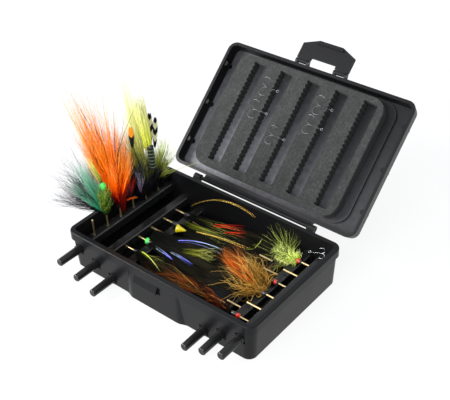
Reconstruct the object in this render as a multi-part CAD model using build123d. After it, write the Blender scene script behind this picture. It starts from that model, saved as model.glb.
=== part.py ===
from build123d import *
import math
import os

os.makedirs("parts", exist_ok=True)

# Fly box, millimetres. X runs along the hinge, Y from the front wall to the hinge, Z up.
# The origin is the middle of the underside. The lid stands open and bar 1 is raised, as at rest.

# ---- tray ----
TRAY_LENGTH = 166.4
TRAY_WIDTH = 104.0
TRAY_HEIGHT = 32.0
TRAY_CORNER = 6.0
BAND_HEIGHT = 7.0
BAND_STEP = 1.1
BASE_INSET = 2.45
WALL = 2.6
FLOOR = 1.6
CAVITY_DRAFT = 0.5
CAVITY_CORNER = 2.5

# ---- turning bars ----
BAR_X = (73.0, 57.3, 42.1)
BAR_Z = (18.4, 12.4, 6.6)
BAR_SIDE = 7.0
BAR_EDGE = 1.0
BAR_END = 47.7
COLLAR_RADIUS = 4.7
COLLAR_THICKNESS = 1.2
JOURNAL_RADIUS = 3.65
HOLE_SIDE = 7.4
HANDLE_TIP = 70.3
HANDLE_ROOT_RADIUS = 3.05
HANDLE_TIP_RADIUS = 2.8
SHOULDER_RADIUS = 3.5
SHOULDER_LENGTH = 1.8

# ---- brass pins ----
PIN_COUNT = 6
PIN_PITCH = 13.7
PIN_RADIUS = 0.65
PIN_REACH = 17.0
PIN_SEAT = 2.0
PIN_CENTRE = -1.0
PIN_STAGGER = -1.5

# ---- lid, in the closed position ----
LID_LENGTH = 168.0
LID_FRONT = -53.0
LID_BACK = 54.0
LID_DEPTH = 11.2
LID_CORNER = 7.5
LID_RIM = 2.5
LID_ROOF = 1.8
LID_DRAFT = 1.5
LID_ROOF_EDGE = 2.6
LID_GAP = 0.2
LID_OPEN = 137.0

# ---- raised seat in the lid, a shallow recess on its outside ----
SEAT_HALF = 69.6
SEAT_FRONT = -49.0
SEAT_BACK = 48.0
SEAT_CORNER = 12.0
SEAT_RISE = 1.4

# ---- hinge ----
HINGE_Y = 58.0
HINGE_Z = 29.05
KNUCKLE_RADIUS = 2.4
BARREL_RADIUS = 1.5
HINGE_PIN_RADIUS = 0.8
HINGE_HALF = 56.0
KNUCKLE_LENGTH = 6.0
KNUCKLE_GAP = 0.3

# ---- latch ----
LATCH_Y = -55.3
LATCH_Z = 33.2
LATCH_HALF = 23.0
LATCH_LEG_INNER = 11.0
LATCH_REACH = 19.2
LATCH_TIP_HALF = 10.3
LATCH_SHOULDER = 14.0
LATCH_WINDOW = 4.4
LATCH_UNDER = 1.1
LATCH_OVER = 0.9
LATCH_BARREL = 1.7
LATCH_PIN_RADIUS = 0.6

# ---- catch ----
CATCH_LEFT = -18.0
CATCH_RIGHT = 3.0
CATCH_TOP = 23.8
CATCH_LIP_TOP = 18.6
CATCH_LIP_UNDER = 17.6
CATCH_LIP_Y = -53.4
CATCH_FACE_Y = -51.3
PANEL_LEFT = -21.0
PANEL_RIGHT = 19.0
PANEL_SWEEP = 9.0

# ---- slotted foam ----
FOAM_LEFT = -69.2
FOAM_RIGHT = 62.4
FOAM_FRONT = -47.0
FOAM_BACK = 47.2
FOAM_CORNER = 11.0
FOAM_FACE = 0.3
SLOT_PITCH = 24.9
SLOT_COUNT = 5
SLOT_MIDDLE = 0.3
SLOT_WIDTH = 12.2
SLOT_FRONT = -43.0
SLOT_BACK = 41.6
TOOTH_COUNT = 23
TOOTH_DEPTH = 1.2

# ---- treble hooks on the foam face, placed with the lid closed ----
HOOK_PLACES = ((-34.0, -24.9), (-34.1, -5.6), (-10.2, 8.0), (15.0, -25.4), (14.2, -9.5))
HOOK_WIRE = 0.7
HOOK_SHANK = 6.0
HOOK_BEND = 3.4
HOOK_POINT = 2.4

BARS = range(1, 7)
LID_Z = TRAY_HEIGHT + LID_GAP
LID_TOP = LID_Z + LID_DEPTH


def save(name, shape):
    export_step(Compound(children=[s for s in shape.solids()], label=name), f"parts/{name}.step")


def rounded(length, width, corner, height):
    return Pos(0, 0, height) * RectangleRounded(length, width, corner)


def rod(x, z, y_from, y_to, radius, radius_to=None):
    """A round along Y from y_from to y_to, tapered if radius_to is given."""
    length = y_to - y_from
    middle = Pos(x, (y_from + y_to) / 2, z) * Rot(-90, 0, 0)
    if radius_to is None:
        return middle * Cylinder(radius, length)
    return middle * Cone(radius, radius_to, length)


def along_x(points, x_from, x_to):
    """A prism along X with the outline points (y, z)."""
    outline = Plane.YZ * make_face(Polyline(*points, close=True))
    return Pos(x_from, 0, 0) * extrude(outline, amount=x_to - x_from)


def rod_x(y, z, x_from, x_to, radius):
    return Pos((x_from + x_to) / 2, y, z) * Rot(0, 90, 0) * Cylinder(radius, x_to - x_from)


def opened(shape):
    """Turns a piece of the closed lid back about the hinge axis to where it stands at rest."""
    return Pos(0, HINGE_Y, HINGE_Z) * Rot(-LID_OPEN, 0, 0) * Pos(0, -HINGE_Y, -HINGE_Z) * shape


# ---- bar places: 1, 2, 3 from the left wall, 4, 5, 6 to the right wall ----
def bar_step(bar):
    """How many bars lie between this one and its end wall."""
    return bar - 1 if bar <= 3 else 6 - bar


def bar_x(bar):
    return -BAR_X[bar_step(bar)] if bar <= 3 else BAR_X[bar_step(bar)]


def bar_z(bar):
    return BAR_Z[bar_step(bar)]


def pin_y(bar, pin):
    """Pins of the middle bars are staggered, so that they pass the bar beside them."""
    stagger = PIN_STAGGER if bar_step(bar) == 1 else 0.0
    return PIN_CENTRE + stagger + (pin - (PIN_COUNT + 1) / 2) * PIN_PITCH


def bar_place(bar):
    """The bar's own frame, pins along local +X: raised for bar 1, lying inwards for the others."""
    turn = -90 if bar == 1 else (0 if bar <= 3 else 180)
    return Pos(bar_x(bar), 0, bar_z(bar)) * Rot(0, turn, 0)


# ---- tray: drafted walls, a thicker band round the mouth, square bearing holes ----
def wall_y(z):
    """Outer face of the front wall below the band, as a distance from the middle."""
    upper = TRAY_WIDTH / 2 - BAND_STEP
    lower = TRAY_WIDTH / 2 - BASE_INSET
    return lower + (upper - lower) * z / (TRAY_HEIGHT - BAND_HEIGHT)


def swept_panel():
    """Plan of the thick panel: a flat face that sweeps back into the wall at both ends."""
    back = -TRAY_WIDTH / 2 + BAND_STEP + WALL
    foot = -TRAY_WIDTH / 2 + BASE_INSET + 0.4
    left = Vector(PANEL_LEFT, CATCH_FACE_Y, 0)
    right = Vector(PANEL_RIGHT, CATCH_FACE_Y, 0)
    left_foot = Vector(PANEL_LEFT - PANEL_SWEEP, foot, 0)
    right_foot = Vector(PANEL_RIGHT + PANEL_SWEEP, foot, 0)
    face = Line(left, right)
    end = Spline(right, right_foot, tangents=[(1, 0, 0), (1, 0, 0)])
    start = Spline(left_foot, left, tangents=[(1, 0, 0), (1, 0, 0)])
    inside = Polyline(right_foot, (right_foot.X, back), (left_foot.X, back), left_foot)
    return make_face([start, face, end, inside])


def make_tray():
    band_floor = TRAY_HEIGHT - BAND_HEIGHT
    foot = RectangleRounded(TRAY_LENGTH - 2 * BASE_INSET, TRAY_WIDTH - 2 * BASE_INSET, TRAY_CORNER)
    lean = math.degrees(math.atan((BASE_INSET - BAND_STEP) / band_floor))
    body = extrude(foot, amount=band_floor + 0.5, taper=-lean)
    body = chamfer(body.edges().group_by(Axis.Z)[0], 1.0)
    band = extrude(rounded(TRAY_LENGTH, TRAY_WIDTH, TRAY_CORNER + 1, band_floor), amount=BAND_HEIGHT)
    band = fillet(band.edges().group_by(Axis.Z)[-1], 0.9)
    band = chamfer(band.edges().group_by(Axis.Z)[0], 0.4)
    body += band
    body += Pos(0, 0, 0.4) * extrude(swept_panel(), amount=24.9)

    inner_length = TRAY_LENGTH - 2 * (WALL + BAND_STEP)
    inner_width = TRAY_WIDTH - 2 * (WALL + BAND_STEP)
    bottom = rounded(inner_length - 2 * CAVITY_DRAFT, inner_width - 2 * CAVITY_DRAFT, CAVITY_CORNER, FLOOR)
    depth = TRAY_HEIGHT + 1 - FLOOR
    body -= extrude(bottom, amount=depth, taper=-math.degrees(math.atan(CAVITY_DRAFT / depth)))

    # the wedge: a ramp down to a lip, with a square shoulder under it
    wedge = [(CATCH_FACE_Y + 0.5, CATCH_TOP + 0.6), (CATCH_FACE_Y, CATCH_TOP), (CATCH_LIP_Y, CATCH_LIP_TOP),
             (CATCH_LIP_Y, CATCH_LIP_UNDER), (CATCH_FACE_Y + 0.5, CATCH_LIP_UNDER)]
    body += along_x(wedge, CATCH_LEFT, CATCH_RIGHT)
    notch_middle = (CATCH_LIP_UNDER + CATCH_TOP) / 2
    body -= Pos(CATCH_RIGHT + 1.5, CATCH_FACE_Y, notch_middle) * Box(2.6, 1.6, CATCH_TOP - CATCH_LIP_UNDER)

    for bar in BARS:
        hole = Pos(bar_x(bar), 0, bar_z(bar)) * Box(HOLE_SIDE, TRAY_WIDTH, HOLE_SIDE)
        body -= fillet(hole.edges().filter_by(Axis.Y), 0.4)
    return body


# ---- hinge: a steel rod through the lid's barrel, held by a knuckle at each end ----
def end_knuckle(x_from, x_to):
    root = TRAY_WIDTH / 2 - 1.0
    web = [(root, 16.0), (root, 26.5), (HINGE_Y - 1.6, HINGE_Z + 1.2), (HINGE_Y, HINGE_Z),
           (HINGE_Y + 1.0, HINGE_Z - 2.0)]
    return along_x(web, x_from, x_to) + rod_x(HINGE_Y, HINGE_Z, x_from, x_to, KNUCKLE_RADIUS)


def lid_flap(x_from, x_to):
    """The thin flap from the lid's back wall down to the barrel, and the barrel on its edge."""
    flap = [(LID_BACK - 1.6, LID_Z + 0.5), (LID_BACK - 1.6, LID_Z + 5.0), (LID_BACK + 0.1, LID_Z + 4.6),
            (HINGE_Y + 1.1, HINGE_Z + 1.0), (HINGE_Y, HINGE_Z), (HINGE_Y - 1.35, HINGE_Z + 0.6),
            (HINGE_Y - 1.9, LID_Z)]
    return along_x(flap, x_from, x_to) + rod_x(HINGE_Y, HINGE_Z, x_from, x_to, BARREL_RADIUS)


def add_hinge(tray, lid):
    barrel_half = HINGE_HALF - KNUCKLE_LENGTH - KNUCKLE_GAP
    bore = rod_x(HINGE_Y, HINGE_Z, -HINGE_HALF - 1, HINGE_HALF + 1, HINGE_PIN_RADIUS)
    loose = rod_x(HINGE_Y, HINGE_Z, -HINGE_HALF - 1, HINGE_HALF + 1, HINGE_PIN_RADIUS + 0.05)
    for side in (-1, 1):
        tray += end_knuckle(*sorted((side * (HINGE_HALF - KNUCKLE_LENGTH), side * HINGE_HALF)))
    lid += lid_flap(-barrel_half, barrel_half)
    pin = rod_x(HINGE_Y, HINGE_Z, -HINGE_HALF + 0.5, HINGE_HALF - 0.5, HINGE_PIN_RADIUS)
    return tray - bore, lid - loose, pin


# ---- lid: a shallow drafted pan with a rib round the foam's seat ----
def make_lid():
    width = LID_BACK - LID_FRONT
    middle = (LID_BACK + LID_FRONT) / 2
    lean = math.degrees(math.atan(LID_DRAFT / LID_DEPTH))
    rim = Pos(0, middle, 0) * rounded(LID_LENGTH, width, LID_CORNER, LID_Z)
    body = extrude(rim, amount=LID_DEPTH, taper=lean)
    body = chamfer(body.edges().group_by(Axis.Z)[-1], LID_ROOF_EDGE, LID_ROOF_EDGE * 0.6)
    ceiling = LID_TOP - LID_ROOF
    mouth = rounded(LID_LENGTH - 2 * LID_RIM, width - 2 * LID_RIM, LID_CORNER - 2.5, LID_Z)
    body -= Pos(0, middle, 0) * extrude(mouth, amount=ceiling - LID_Z, taper=lean / 2)

    # the raised seat that the foam is glued to, with a matching recess above it
    seat_width = SEAT_BACK - SEAT_FRONT
    seat_middle = Pos(0, (SEAT_BACK + SEAT_FRONT) / 2, 0)
    seat = rounded(2 * SEAT_HALF, seat_width, SEAT_CORNER, ceiling - SEAT_RISE)
    recess = rounded(2 * SEAT_HALF - 3.6, seat_width - 3.6, SEAT_CORNER - 1.8, LID_TOP - SEAT_RISE)
    body += seat_middle * extrude(seat, amount=SEAT_RISE + 0.1)
    body -= seat_middle * extrude(recess, amount=SEAT_RISE + 1)

    # half-round stiffeners on the end walls
    for side in (-1, 1):
        for y in (33.0, 0.0, -34.0):
            nub = Pos(side * (LID_LENGTH / 2 - LID_RIM - 0.8), y, (LID_Z + ceiling) / 2 + 0.6)
            body += nub * Cylinder(2.0, ceiling - LID_Z - 1.0)

    # latch lugs at both sides of each leg
    for side in (-1, 1):
        for x in (LATCH_LEG_INNER + 1.0, LATCH_HALF - 1.0):
            x_from, x_to = side * x - 0.9, side * x + 0.9
            front = LID_FRONT
            lug = [(front + 0.8, LID_Z + 0.3), (front + 0.8, LID_Z + 4.6), (LATCH_Y, LATCH_Z + LATCH_BARREL),
                   (LATCH_Y - 0.8, LATCH_Z - 1.2), (LATCH_Y + 0.6, LATCH_Z - LATCH_BARREL + 0.1)]
            body += along_x(lug, x_from, x_to) + rod_x(LATCH_Y, LATCH_Z, x_from, x_to, LATCH_BARREL)
    return body - rod_x(LATCH_Y, LATCH_Z, -LATCH_HALF - 1, LATCH_HALF + 1, LATCH_PIN_RADIUS)


# ---- latch: a framed tongue with a rib that snaps under the catch ----
def make_latch():
    tip = LATCH_Y - LATCH_REACH
    shoulder = LATCH_Y - LATCH_SHOULDER
    outline = Polyline((-LATCH_HALF, LATCH_Y), (-LATCH_HALF, shoulder), (-LATCH_TIP_HALF, tip),
                       (LATCH_TIP_HALF, tip), (LATCH_HALF, shoulder), (LATCH_HALF, LATCH_Y), close=True)
    plate = extrude(make_face(outline), amount=LATCH_UNDER + LATCH_OVER)
    plate = fillet(plate.edges().filter_by(Axis.Z).group_by(Axis.Y)[0], 1.6)
    plate = Pos(0, 0, LATCH_Z - LATCH_UNDER) * plate
    window = Pos(0, LATCH_Y - LATCH_WINDOW / 2 + 1, LATCH_Z) * Box(2 * LATCH_LEG_INNER, LATCH_WINDOW + 2, 6)
    plate -= fillet(window.edges().filter_by(Axis.Z), 0.8)
    for side in (-1, 1):
        ends = sorted((side * LATCH_LEG_INNER, side * LATCH_HALF))
        plate += rod_x(LATCH_Y, LATCH_Z, *ends, LATCH_BARREL)
    under = LATCH_Z - LATCH_UNDER
    # stiffening ridge, then the snap rib nearer the tip
    plate += Pos(0, LATCH_Y - 11.2, under) * Box(2 * LATCH_HALF - 4, 0.8, 0.8)
    rib = [(LATCH_Y - 15.9, under + 0.2), (LATCH_Y - 15.9, under - 2.0), (LATCH_Y - 16.7, under - 2.0),
           (LATCH_Y - 17.9, under + 0.2)]
    plate += along_x(rib, -LATCH_TIP_HALF - 1.5, LATCH_TIP_HALF + 1.5)
    for side in (-1, 1):
        for x in (LATCH_LEG_INNER + 1.0, LATCH_HALF - 1.0):
            room = Pos(side * x, LATCH_Y, LATCH_Z) * Box(2.2, 2 * LATCH_BARREL + 0.6, 2 * LATCH_BARREL + 0.8)
            plate -= room
    plate -= rod_x(LATCH_Y, LATCH_Z, -LATCH_HALF - 1, LATCH_HALF + 1, LATCH_PIN_RADIUS + 0.05)
    pins = []
    for side in (-1, 1):
        ends = sorted((side * (LATCH_LEG_INNER + 0.2), side * (LATCH_HALF - 0.2)))
        pins.append(rod_x(LATCH_Y, LATCH_Z, *ends, LATCH_PIN_RADIUS))
    return plate, Compound(children=pins)


# ---- foam: slots with one saw-toothed side that grips the hooks ----
def slot_outline(x):
    half = SLOT_WIDTH / 2
    pitch = (SLOT_BACK - SLOT_FRONT - 2.0) / TOOTH_COUNT
    teeth = []
    for tooth in range(TOOTH_COUNT):
        y = SLOT_FRONT + 1.0 + tooth * pitch
        teeth += [(x - half, y), (x - half + TOOTH_DEPTH, y + pitch / 2)]
    teeth += [(x - half, SLOT_BACK - 1.0)]
    ends = [(x - half + 1.0, SLOT_BACK), (x + half - 1.5, SLOT_BACK), (x + half, SLOT_BACK - 1.5),
            (x + half, SLOT_FRONT + 1.5), (x + half - 1.5, SLOT_FRONT), (x - half + 1.0, SLOT_FRONT)]
    return make_face(Polyline(*teeth, *ends, close=True))


def make_foam():
    face = LID_Z + FOAM_FACE
    thickness = LID_TOP - LID_ROOF - SEAT_RISE - face
    middle = Pos((FOAM_LEFT + FOAM_RIGHT) / 2, (FOAM_FRONT + FOAM_BACK) / 2, face)
    outline = RectangleRounded(FOAM_RIGHT - FOAM_LEFT, FOAM_BACK - FOAM_FRONT, FOAM_CORNER)
    foam = middle * extrude(outline, amount=thickness)
    foam = chamfer(foam.edges().group_by(Axis.Z)[0], 0.5)
    for slot in range(SLOT_COUNT):
        x = SLOT_MIDDLE + (slot - (SLOT_COUNT - 1) / 2) * SLOT_PITCH
        foam -= Pos(0, 0, face) * extrude(slot_outline(x), amount=thickness)
    return foam


# ---- treble hooks: a ringed shank and three bends of forged wire, held on the foam's face ----
def hook_tine():
    half = HOOK_WIRE / 2
    root = -HOOK_SHANK / 2
    outer = ThreePointArc((root, -half), (root - HOOK_BEND / 2 - half, HOOK_BEND / 2), (root, HOOK_BEND + half))
    inner = ThreePointArc((root, HOOK_BEND - half), (root - HOOK_BEND / 2 + half, HOOK_BEND / 2), (root, half))
    point = Polyline(outer @ 1, (root + HOOK_POINT, HOOK_BEND), inner @ 0)
    shank = Polyline(inner @ 1, (-root, half), (-root, -half), outer @ 0)
    return extrude(make_face([outer, point, inner, shank]), amount=half, both=True)


def make_treble_hooks():
    hooks = []
    lift = LID_Z + FOAM_FACE - HOOK_BEND / 2 - 0.72 * HOOK_WIRE
    for x, y in HOOK_PLACES:
        ring = Cylinder(1.3, HOOK_WIRE) - Cylinder(0.65, HOOK_WIRE)
        hook = Pos(HOOK_SHANK / 2 + 1.0, 0, 0) * ring
        for turn in (30, 150, 270):
            hook += Rot(turn, 0, 0) * hook_tine()
        hooks.append(Pos(x, y, lift) * hook)
    return Compound(children=hooks)


# ---- bars: square in the tray, round in the walls, a handle in front ----
def make_bar(bar):
    core = Box(BAR_SIDE, 2 * BAR_END, BAR_SIDE)
    core = fillet(core.edges().filter_by(Axis.Y), BAR_EDGE)
    wall = wall_y(bar_z(bar))
    for side in (-1, 1):
        inner, outer = sorted((side * (BAR_END - COLLAR_THICKNESS), side * BAR_END))
        core += rod(0, 0, inner, outer, COLLAR_RADIUS)
    core += rod(0, 0, -wall - 0.3, -BAR_END, JOURNAL_RADIUS)
    core += rod(0, 0, BAR_END, wall - 0.2, JOURNAL_RADIUS)
    shoulder_end = -wall - 0.3 - SHOULDER_LENGTH
    core += rod(0, 0, shoulder_end, -wall - 0.3, SHOULDER_RADIUS)
    handle = rod(0, 0, -HANDLE_TIP, shoulder_end, HANDLE_TIP_RADIUS, HANDLE_ROOT_RADIUS)
    handle = chamfer(handle.edges().group_by(Axis.Y)[0], 0.5)
    core += handle
    for pin in range(1, PIN_COUNT + 1):
        seat = (PIN_REACH - PIN_SEAT) / 2
        core -= Pos(seat, pin_y(bar, pin), 0) * Rot(0, 90, 0) * Cylinder(PIN_RADIUS, PIN_REACH + PIN_SEAT)
    return bar_place(bar) * core


def make_pins(bar):
    pins = []
    seat = (PIN_REACH - PIN_SEAT) / 2
    for pin in range(1, PIN_COUNT + 1):
        wire = Cylinder(PIN_RADIUS, PIN_REACH + PIN_SEAT)
        wire = chamfer(wire.edges().group_by(Axis.Z)[-1], 0.25)
        pins.append(bar_place(bar) * Pos(seat, pin_y(bar, pin), 0) * Rot(0, 90, 0) * wire)
    return Compound(children=pins)


# ---- flies: a tube body that slips on the pin, and the hair or hackle swept from it ----
def tuft(start, end, profile):
    """A tuft of hair from start to end: profile gives (share of the length, half width), and
    the tuft is TUFT_FLAT times as thick as it is wide, with eight plain sides."""
    reach = Vector(*end) - Vector(*start)
    across = Vector(0, 0, 1).cross(reach)
    if across.length < 0.5 * reach.length:
        across = Vector(*PLUME_FACE)
    plane = Plane(origin=start, x_dir=across - reach * (across.dot(reach) / reach.length**2), z_dir=reach)
    rings = []
    for share, half in profile:
        level = plane.offset(share * reach.length)
        turns = [math.radians(22.5 + 45 * corner) for corner in range(8)]
        ring = [(half * math.cos(turn), half * TUFT_FLAT * math.sin(turn), 0) for turn in turns]
        rings.append([level.from_local_coords(corner) for corner in ring])
    sides = [Face(Wire.make_polygon(rings[0])), Face(Wire.make_polygon(rings[-1]))]
    for low, high in zip(rings, rings[1:]):
        for corner in range(8):
            after = (corner + 1) % 8
            sides.append(Face(Wire.make_polygon([low[corner], low[after], high[after], high[corner]])))
    return Solid(Shell(sides))


def tube_fly(bar, pin, body_from, body_to, body_radius, wings, head=None):
    """The tube covers the pin from body_from to body_to, measured from the bar's axis.
    wings are (tip, profile) and start inside the tube's far end; head is (place, radius, length)."""
    place = bar_place(bar)
    y = pin_y(bar, pin)
    length = body_to - body_from
    fly = place * Pos((body_from + body_to) / 2, y, 0) * Rot(0, 90, 0) * Cylinder(body_radius, length)
    inward = {True: (0, 0, 1), False: (1 if bar <= 3 else -1, 0, 0)}[bar == 1]
    for start_at, tip, profile in wings:
        start = (bar_x(bar) + inward[0] * start_at, y, bar_z(bar) + inward[2] * start_at)
        fly += tuft(start, tip, profile)
    if head:
        at, radius, head_length = head
        fly += place * Pos(at, y, 0) * Rot(0, 90, 0) * Cone(radius, body_radius, head_length)
    bore = place * Pos(PIN_REACH / 2, y, 0) * Rot(0, 90, 0) * Cylinder(PIN_RADIUS + 0.1, PIN_REACH + 0.6)
    return fly - bore


PLUME_FACE = (0.77, 0.64, 0.0)
TUFT_FLAT = 0.7
FAN = ((0.0, 2.0), (0.3, 6.5), (0.7, 10.0), (1.0, 3.0))
PLUME = ((0.0, 1.8), (0.3, 5.0), (0.65, 8.0), (1.0, 2.4))
BRUSH = ((0.0, 1.6), (0.4, 4.2), (0.8, 5.0), (1.0, 1.8))
WISP = ((0.0, 1.2), (0.5, 2.8), (1.0, 1.0))
HACKLE = ((0.0, 1.6), (0.4, 6.0), (0.8, 5.6), (1.0, 2.0))


def make_flies():
    flies = {}
    # raised bar
    flies["fly_teal"] = tube_fly(1, 2, 10.0, 19.0, 2.4, (
        (17.5, (-97.0, -45.0, 77.0), PLUME), (17.5, (-88.0, -33.0, 82.0), BRUSH)))
    flies["fly_orange"] = tube_fly(1, 3, 10.0, 19.0, 2.4, (
        (17.5, (-93.0, -22.0, 122.0), FAN), (17.5, (-78.0, -10.0, 112.0), FAN)))
    flies["fly_red"] = tube_fly(1, 4, 11.0, 19.0, 2.2, ((17.5, (-75.0, 5.8, 72.0), BRUSH),))
    flies["fly_yellow"] = tube_fly(1, 5, 10.0, 19.0, 2.4, (
        (17.5, (-79.0, 15.5, 125.0), BRUSH), (17.5, (-67.0, 23.0, 98.0), BRUSH)))
    flies["fly_lime"] = tube_fly(1, 6, 10.0, 19.0, 2.4, (
        (17.5, (-71.0, 36.0, 62.0), HACKLE), (17.5, (-60.0, 43.0, 68.0), BRUSH)))
    # bar 2, lying inwards
    flies["fly_green_strand"] = tube_fly(2, 2, 6.0, 18.0, 1.6, ((17.5, (-16.0, -31.0, 12.0), WISP),))
    flies["fly_green_cone"] = tube_fly(2, 3, 9.5, 18.5, 1.7, (
        (17.5, (14.0, -13.0, 12.5), BRUSH),), (10.0, 2.6, 3.0))
    flies["fly_yellow_cone"] = tube_fly(2, 5, 12.0, 24.0, 1.7, (
        (21.5, (30.0, 16.0, 14.0), BRUSH),), (21.0, 2.7, 3.0))
    flies["fly_gold_strand"] = tube_fly(2, 6, 12.0, 19.0, 1.6, ((17.5, (24.0, 38.0, 14.0), WISP),))
    # bar 6, lying inwards
    flies["fly_bucktail"] = tube_fly(6, 1, 11.0, 20.0, 1.8, (
        (17.5, (-12.0, -42.0, 22.0), BRUSH),), (12.5, 2.2, 3.0))
    flies["fly_golden"] = tube_fly(6, 3, 11.0, 20.0, 1.8, ((18.5, (14.0, -16.0, 22.0), HACKLE),))
    flies["fly_brown"] = tube_fly(6, 4, 11.0, 19.0, 1.6, (
        (16.0, (22.0, 6.0, 20.0), WISP),), (12.5, 2.2, 3.0))
    flies["fly_hackle"] = tube_fly(6, 6, 11.0, 20.0, 1.8, (
        (18.5, (30.0, 36.5, 23.5), HACKLE),), (12.5, 2.3, 3.0))
    return flies


def main():
    tray, lid, hinge_pin = add_hinge(make_tray(), make_lid())
    latch, latch_pins = make_latch()
    save("base_tray", tray)
    save("lid", opened(lid))
    save("hinge_pin", hinge_pin)
    save("latch", opened(latch))
    save("latch_pins", opened(latch_pins))
    save("foam_insert", opened(make_foam()))
    save("treble_hooks", opened(make_treble_hooks()))
    for bar in BARS:
        save(f"pin_bar_{bar}", make_bar(bar))
        save(f"brass_pins_{bar}", make_pins(bar))
    for name, fly in make_flies().items():
        save(name, fly)


main()
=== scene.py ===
import math
from functools import partial

import bmesh
import bpy
from mathutils import Matrix, Vector


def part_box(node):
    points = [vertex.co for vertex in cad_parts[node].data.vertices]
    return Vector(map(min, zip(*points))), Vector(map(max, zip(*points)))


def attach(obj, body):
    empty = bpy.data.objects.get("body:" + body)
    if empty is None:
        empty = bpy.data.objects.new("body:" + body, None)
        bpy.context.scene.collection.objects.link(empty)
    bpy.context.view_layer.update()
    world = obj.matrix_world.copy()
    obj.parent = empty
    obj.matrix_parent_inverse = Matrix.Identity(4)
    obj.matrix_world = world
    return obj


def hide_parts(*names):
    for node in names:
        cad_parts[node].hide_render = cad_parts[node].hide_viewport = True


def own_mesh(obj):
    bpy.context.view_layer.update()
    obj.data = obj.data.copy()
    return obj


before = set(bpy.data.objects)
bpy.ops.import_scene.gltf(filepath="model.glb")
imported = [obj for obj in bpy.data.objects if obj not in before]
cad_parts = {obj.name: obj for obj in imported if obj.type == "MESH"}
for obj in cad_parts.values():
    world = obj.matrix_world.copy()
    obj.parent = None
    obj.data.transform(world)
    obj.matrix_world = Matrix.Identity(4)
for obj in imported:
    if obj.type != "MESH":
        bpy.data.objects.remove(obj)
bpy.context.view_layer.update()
MM = 0.001


# ------
# Camera: a product shot from the front right, looking down into the open box.
# It has no shift and no depth of field.
CAMERA_PLACE = Vector((321.5, -357.2, 421.2)) * MM
CAMERA_YAW = math.radians(39.99)
CAMERA_PITCH = math.radians(36.64)
CAMERA_ROLL = math.radians(-1.78)
CAMERA_LENS = 70.55


def placed(name, data):
    """A new object in the scene's own collection."""
    made = bpy.data.objects.new(name, data)
    bpy.context.scene.collection.objects.link(made)
    return made


look = Vector((-math.sin(CAMERA_YAW) * math.cos(CAMERA_PITCH),
               math.cos(CAMERA_YAW) * math.cos(CAMERA_PITCH),
               -math.sin(CAMERA_PITCH)))
level_right = Vector((math.cos(CAMERA_YAW), math.sin(CAMERA_YAW), 0.0))
level_up = level_right.cross(look)
right = level_right * math.cos(CAMERA_ROLL) + level_up * math.sin(CAMERA_ROLL)
up = level_up * math.cos(CAMERA_ROLL) - level_right * math.sin(CAMERA_ROLL)
camera_data = bpy.data.cameras.new("camera")
camera_data.lens = CAMERA_LENS
camera_data.sensor_width = 36.0
camera_data.sensor_fit = "HORIZONTAL"
camera_data.clip_start = 0.01
camera = placed("camera", camera_data)
camera.matrix_world = Matrix.Translation(CAMERA_PLACE) @ Matrix((right, up, -look)).transposed().to_4x4()
bpy.context.scene.camera = camera
bpy.context.scene.view_settings.view_transform = "Standard"


# ------
# Studio: a white sweep with no visible edge, a soft box at the front left and a
# weaker one on the right. The floor keeps the object's shadow.
FLOOR_SIZE = 6.0
FLOOR_COLOUR = (0.80, 0.81, 0.84)
FLOOR_GLOW = 0.87
FILL_COLOUR = (0.93, 0.96, 1.0)
WHITE = (1.0, 1.0, 1.0)


def node(tree, kind, inputs=(), **settings):
    """Adds a node; kind is its full name, or a short one for the tree's own kind.
    An input is a plain value, a socket, or a node, whose first output in use is taken."""
    made = tree.nodes.new(kind if "Node" in kind else tree.bl_idname.replace("Tree", kind))
    for name, value in settings.items():
        setattr(made, name, value)
    for name, value in dict(inputs).items():
        target = made.inputs[name]
        if isinstance(value, bpy.types.Node):
            value = next(output for output in value.outputs if output.enabled)
        if isinstance(value, bpy.types.NodeSocket):
            tree.links.new(value, target)
        else:
            target.default_value = (*value, 1.0) if target.type == "RGBA" else value
    return made


def tree_math(tree, operation, *inputs):
    return node(tree, "ShaderNodeMath", enumerate(inputs), operation=operation)


def ray_mask(tree, *kinds):
    """One for rays of the given kinds."""
    path = node(tree, "LightPath").outputs
    return tree_math(tree, "MAXIMUM", *[path[f"Is {kind} Ray"] for kind in kinds])


def surface(name):
    """A new material and its empty tree."""
    material = bpy.data.materials.new(name)
    material.use_nodes = True
    material.node_tree.nodes.clear()
    return material, material.node_tree


world = bpy.data.worlds.new("studio")
world.use_nodes = True
sky = world.node_tree
sky.nodes.clear()
fill = node(sky, "Background", {"Color": FILL_COLOUR, "Strength": 1.0})
white = node(sky, "Background", {"Color": WHITE, "Strength": 1.0})
either = node(sky, "MixShader", {0: ray_mask(sky, "Camera", "Transmission"), 1: fill, 2: white})
node(sky, "OutputWorld", {"Surface": either})
bpy.context.scene.world = world

floor_mesh = bpy.data.meshes.new("floor")
half = FLOOR_SIZE / 2
floor_mesh.from_pydata([(-half, -half, 0), (half, -half, 0), (half, half, 0), (-half, half, 0)], [],
                       [(0, 1, 2, 3)])
floor = placed("floor", floor_mesh)
floor_material, tree = surface("white_sweep")
share = tree_math(tree, "MULTIPLY", ray_mask(tree, "Camera", "Glossy"), FLOOR_GLOW)
matt = node(tree, "BsdfDiffuse", {"Color": FLOOR_COLOUR})
glow = node(tree, "Emission", {"Color": WHITE, "Strength": 1.0})
node(tree, "OutputMaterial", {"Surface": node(tree, "MixShader", {0: share, 1: matt, 2: glow})})
floor_mesh.materials.append(floor_material)


def soft_box(name, place, aim, size, power):
    data = bpy.data.lights.new(name, "AREA")
    data.size = size
    data.energy = power
    lamp = placed(name, data)
    lamp.location = place
    lamp.rotation_euler = (Vector(aim) - Vector(place)).to_track_quat("-Z", "Y").to_euler()


soft_box("key", (-1.00, -0.76, 0.66), (0.0, 0.0, 0.05), 0.60, 27.0)
soft_box("fill", (0.12, -1.25, 0.95), (0.0, 0.0, 0.03), 0.80, 17.0)


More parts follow.
